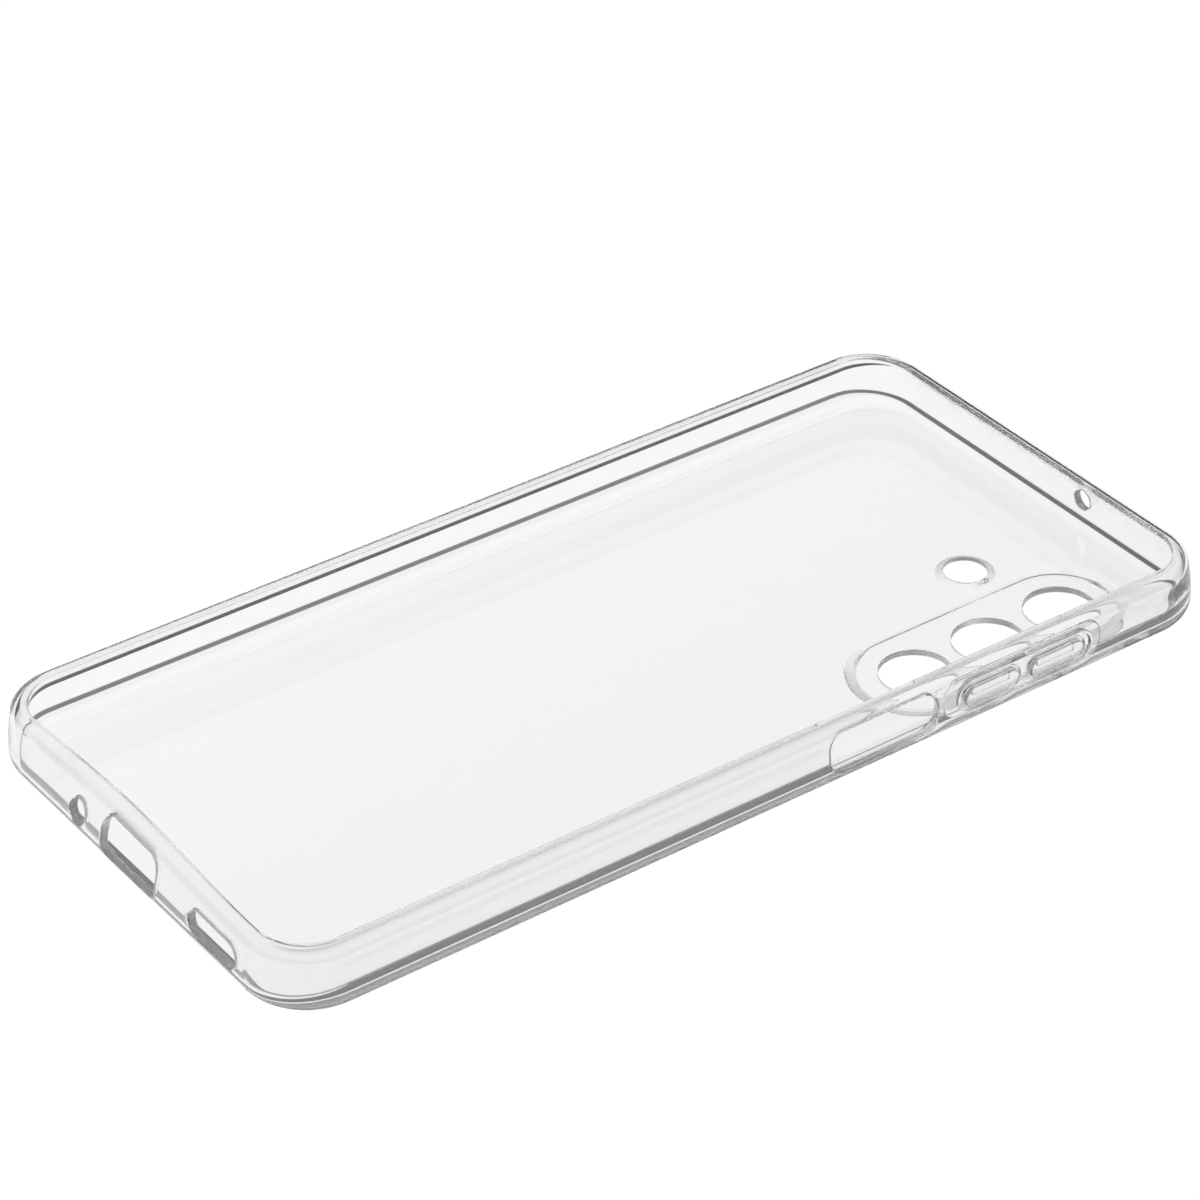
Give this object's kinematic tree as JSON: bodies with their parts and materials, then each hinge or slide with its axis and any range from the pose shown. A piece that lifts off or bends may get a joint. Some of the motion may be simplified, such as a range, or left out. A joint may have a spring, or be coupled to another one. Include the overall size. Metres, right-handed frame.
{
  "type": "phone case",
  "caption": "Slim clear flexible case that wraps the back and edges of a large phone, with openings for lenses, flash, side key and port, and volume pads that flex.",
  "frame": {"origin": "centre of the case in X and Y, at the lowest face of the camera guard rim, on which and on the foot of the walls the case rests", "axes": "+Y towards the top edge of the phone, +X towards the side with the volume keys, +Z from the back of the phone to its screen"},
  "size_m": [0.0808, 0.1672, 0.0112],
  "materials": {
    "clear_tpu": "gloss",
    "clear_tpu_keys": "gloss"
  },
  "bodies": {
    "case": {"back_panel": "clear_tpu", "camera_deck": "clear_tpu", "camera_guard_rim": "clear_tpu", "flash_collar": "clear_tpu", "wall_left": "clear_tpu", "wall_right": "clear_tpu", "wall_top": "clear_tpu", "wall_bottom": "clear_tpu", "corner_top_left": "clear_tpu", "corner_top_right": "clear_tpu", "corner_bottom_left": "clear_tpu", "corner_bottom_right": "clear_tpu", "lip_left": "clear_tpu", "lip_right": "clear_tpu", "lip_top": "clear_tpu", "lip_bottom": "clear_tpu", "volume_key_frame": "clear_tpu_keys", "volume_key_web": "clear_tpu_keys"},
    "volume_up": {"volume_up_pad": "clear_tpu_keys", "volume_up_nub": "clear_tpu_keys"},
    "volume_down": {"volume_down_pad": "clear_tpu_keys", "volume_down_nub": "clear_tpu_keys"}
  },
  "joints": [
    {"name": "volume_up_press", "type": "slide", "parent": "case", "child": "volume_up", "axis": [-1, 0, 0], "range_m": [0, 0.0004], "stiffness_N_per_m": 4000},
    {"name": "volume_down_press", "type": "slide", "parent": "case", "child": "volume_down", "axis": [-1, 0, 0], "range_m": [0, 0.0004], "stiffness_N_per_m": 4000}
  ]
}
